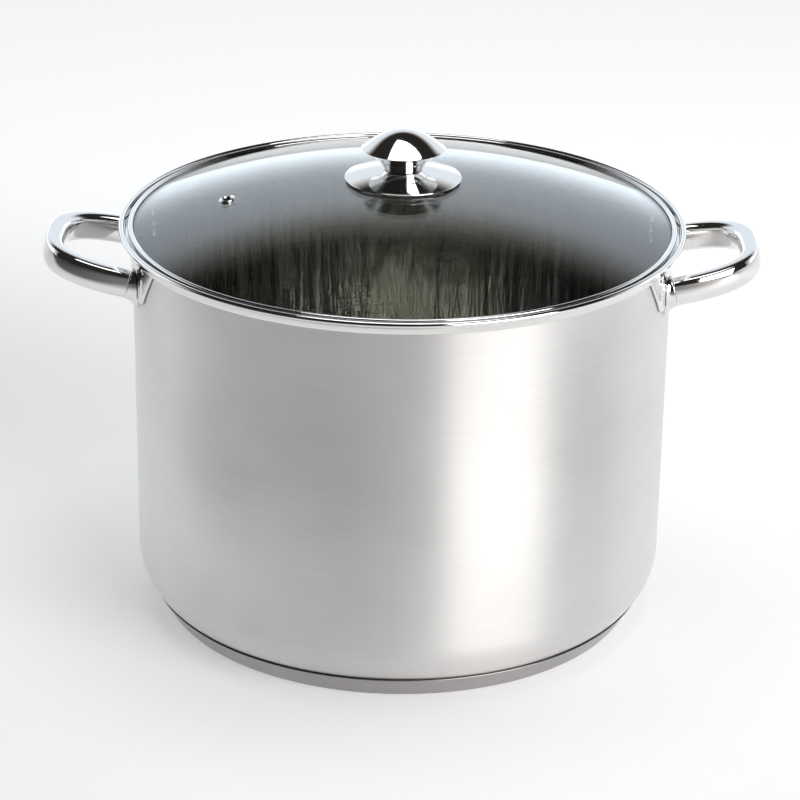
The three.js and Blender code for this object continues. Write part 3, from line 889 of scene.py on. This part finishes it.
def knob_insert():
    """Threaded insert that holds the screw, with a flange on the cap's floor."""
    bottom = low("knob_insert").z
    flange = CAP_BASE + 1 + GAP
    flange_radius = 13
    radius = 9.2
    top = flange + 8
    outline = [
        (BORE, bottom), (radius, bottom), (radius, flange),
        (flange_radius, flange), (flange_radius, flange + 2), (radius, flange + 2.6),
        (radius - 1, top), (0, top), (0, top - 2), (BORE, top - 2),
    ]
    return finished("knob_insert", "lid", turned(outline), PLAIN)


def knob_seal():
    over = DOME_RADIUS + GAP
    radius = 13
    top = plate_height(radius) - 1 - GAP
    outline = [
        (BORE, dome_height(over, BORE)),
        *softened([(radius, dome_height(over, radius), 0.3), (radius, top, 0.3),
                   (BORE, plate_height(BORE) - 1 - GAP)])[:-1],
        (BORE, plate_height(BORE) - 1 - GAP),
    ]
    return finished("knob_seal", "lid", turned(outline, KNOB_FACETS), SILICONE)


def plain_ring(name, outer, material, rounding):
    bottom, top = low(name).z, high(name).z
    outline = softened([
        (BORE, bottom), (outer, bottom, rounding), (outer, top, rounding), (BORE, top),
    ])
    return finished(name, "lid", turned(outline, KNOB_FACETS), material)


def knob_screw():
    """Pan-head screw with a cross recess, seen from inside the lid."""
    top = low("knob_washer").z - GAP
    head = 3
    bottom = top - head
    radius = 4.6
    shank = 2.5
    tip = high("knob_screw").z
    outline = [
        (0, bottom), (radius - 2.4, bottom + 0.08), (radius - 1.4, bottom + 0.35),
        (radius - 0.5, bottom + 1), (radius, top - 0.7), (radius, top), (shank, top),
        (shank, tip - 0.8), (shank - 0.8, tip), (0, tip),
    ]
    screw = turned(outline, SMALL_FACETS, closed=False)
    piece = finished("knob_screw", "lid", screw, PLAIN)
    cross = bmesh.new()
    recess = (4.4, 0.9, 3.2)
    for turn in (0, math.pi / 2):
        bar = bmesh.ops.create_cube(cross, size=1)["verts"]
        bmesh.ops.scale(cross, vec=recess, verts=bar)
        bmesh.ops.rotate(cross, matrix=Matrix.Rotation(turn, 3, "Z"), verts=bar)
        bmesh.ops.translate(cross, vec=(0, 0, bottom), verts=bar)
    screw_mesh = carved(piece, cross, "cross_recess", tool_overlaps_itself=True)
    screw_mesh.set_sharp_from_angle(angle=CREASE)
    return piece


def lid():
    lid_glass()
    lid_band()
    vent()
    knob_plate()
    knob_cap()
    knob_neck()
    knob_insert()
    knob_seal()
    plain_ring("knob_lower_seal", 11, SILICONE, 0.5)
    plain_ring("knob_washer", 9, PLAIN, 0.2)
    knob_screw()


# ---- studio ----
def camera():
    """Long lens, looking along +Y and down onto the lid."""
    place = (0, -1.6195, 0.821)
    pitch = math.radians(23.235)
    roll = math.radians(0.817)
    forward = Vector((0, math.cos(pitch), -math.sin(pitch)))
    right = Vector((1, 0, 0))
    up = right.cross(forward)
    rolled_right = right * math.cos(roll) + up * math.sin(roll)
    rolled_up = up * math.cos(roll) - right * math.sin(roll)
    data = bpy.data.cameras.new("camera")
    data.lens = 129.65
    data.sensor_width = 36
    viewer = bpy.data.objects.new("camera", data)
    turn = Matrix((rolled_right, rolled_up, -forward)).transposed().to_4x4()
    viewer.matrix_world = Matrix.Translation(place) @ turn
    bpy.context.scene.collection.objects.link(viewer)
    bpy.context.scene.camera = viewer


def softbox(name, place, aim, width, height, radiance, colour=(1, 1, 1)):
    """A rectangular light that looks equally bright from anywhere in front of it."""
    data = bpy.data.lights.new(name, "AREA")
    data.shape = "RECTANGLE"
    data.size = width
    data.size_y = height
    data.energy = radiance * math.pi * width * height
    data.color = colour
    lamp = bpy.data.objects.new(name, data)
    lamp.location = place
    lamp.rotation_euler = (Vector(aim) - Vector(place)).to_track_quat("-Z", "Y").to_euler()
    bpy.context.scene.collection.objects.link(lamp)


def studio_floor():
    """Pale glowing floor that fades to dark in front of what the camera sees, more so at left."""
    reach = 30
    corners = [(-reach, -reach, 0), (reach, -reach, 0), (reach, reach, 0), (-reach, reach, 0)]
    mesh = bpy.data.meshes.new("floor")
    mesh.from_pydata(corners, [], [(0, 1, 2, 3)])
    floor = bpy.data.objects.new("floor", mesh)
    material, tree = new_material("pale_floor")
    shader = tree.nodes["Principled BSDF"]
    place = add(tree, "ShaderNodeTexCoord").outputs["Object"]
    split = add(tree, "ShaderNodeSeparateXYZ", None, {0: place}).outputs
    slanted = math_node(tree, "ADD", split[1], math_node(tree, "MULTIPLY", split[0], 0.4))
    pale = spread(tree, slanted, -0.9, -0.38, 0, 1)
    tree.links.new(tinted(tree, pale, (0.3, 0.29, 0.28), (0.88, 0.88, 0.88)),
                   shader.inputs["Base Color"])
    far_glow = spread(tree, slanted, 0.1, 0.7, 0, 0.22)
    emission = math_node(tree, "ADD", math_node(tree, "MULTIPLY", pale, 0.36), far_glow)
    tree.links.new(emission, shader.inputs["Emission Strength"])
    shader.inputs["Emission Color"].default_value = (1, 1, 1, 1)
    shader.inputs["Roughness"].default_value = 0.9
    mesh.materials.append(material)
    bpy.context.scene.collection.objects.link(floor)


def surroundings():
    """A bright backdrop behind, fading to a dark ceiling above and a dark room in front."""
    world = bpy.data.worlds.new("studio")
    bpy.context.scene.world = world
    world.use_nodes = True
    tree = world.node_tree
    direction = add(tree, "ShaderNodeTexCoord").outputs["Generated"]
    split = add(tree, "ShaderNodeSeparateXYZ", None, {0: direction}).outputs
    behind = spread(tree, split[1], 0, 0.4, 0, 1)
    lowered = spread(tree, split[2], 0.45, 0.68, 1, 0)
    backdrop = math_node(tree, "MULTIPLY", behind, lowered)
    glow = spread(tree, split[2], 0.02, 0.28, 1.8, 1.02)
    strength = math_node(tree, "ADD", math_node(tree, "MULTIPLY", backdrop, glow), 0.025)
    colour = tinted(tree, backdrop, (1, 0.92, 0.84), (0.9, 0.97, 1.05))
    background = tree.nodes["Background"]
    tree.links.new(colour, background.inputs["Color"])
    tree.links.new(strength, background.inputs["Strength"])


def studio():
    studio_floor()
    surroundings()
    centre = (0, 0, 0.14)
    softbox("right softbox", (1.42, -1.7, 0.82), centre, 1.7, 1.5, 5, (1, 0.985, 0.97))
    softbox("side softbox", (2.3, 0.5, 0.8), centre, 1.2, 1.2, 0.35, (0.88, 0.94, 1))
    softbox("left softbox", (-2.2, 0.4, 0.8), centre, 0.8, 1.3, 0.35, (0.85, 0.93, 1))
    softbox("overhead", (0.05, 0.1, 2.0), centre, 1.3, 0.9, 2.8)
    bpy.context.scene.view_settings.view_transform = "Standard"


camera()
pot_shell()
base_core()
base_cap()
handles()
lid()
studio()
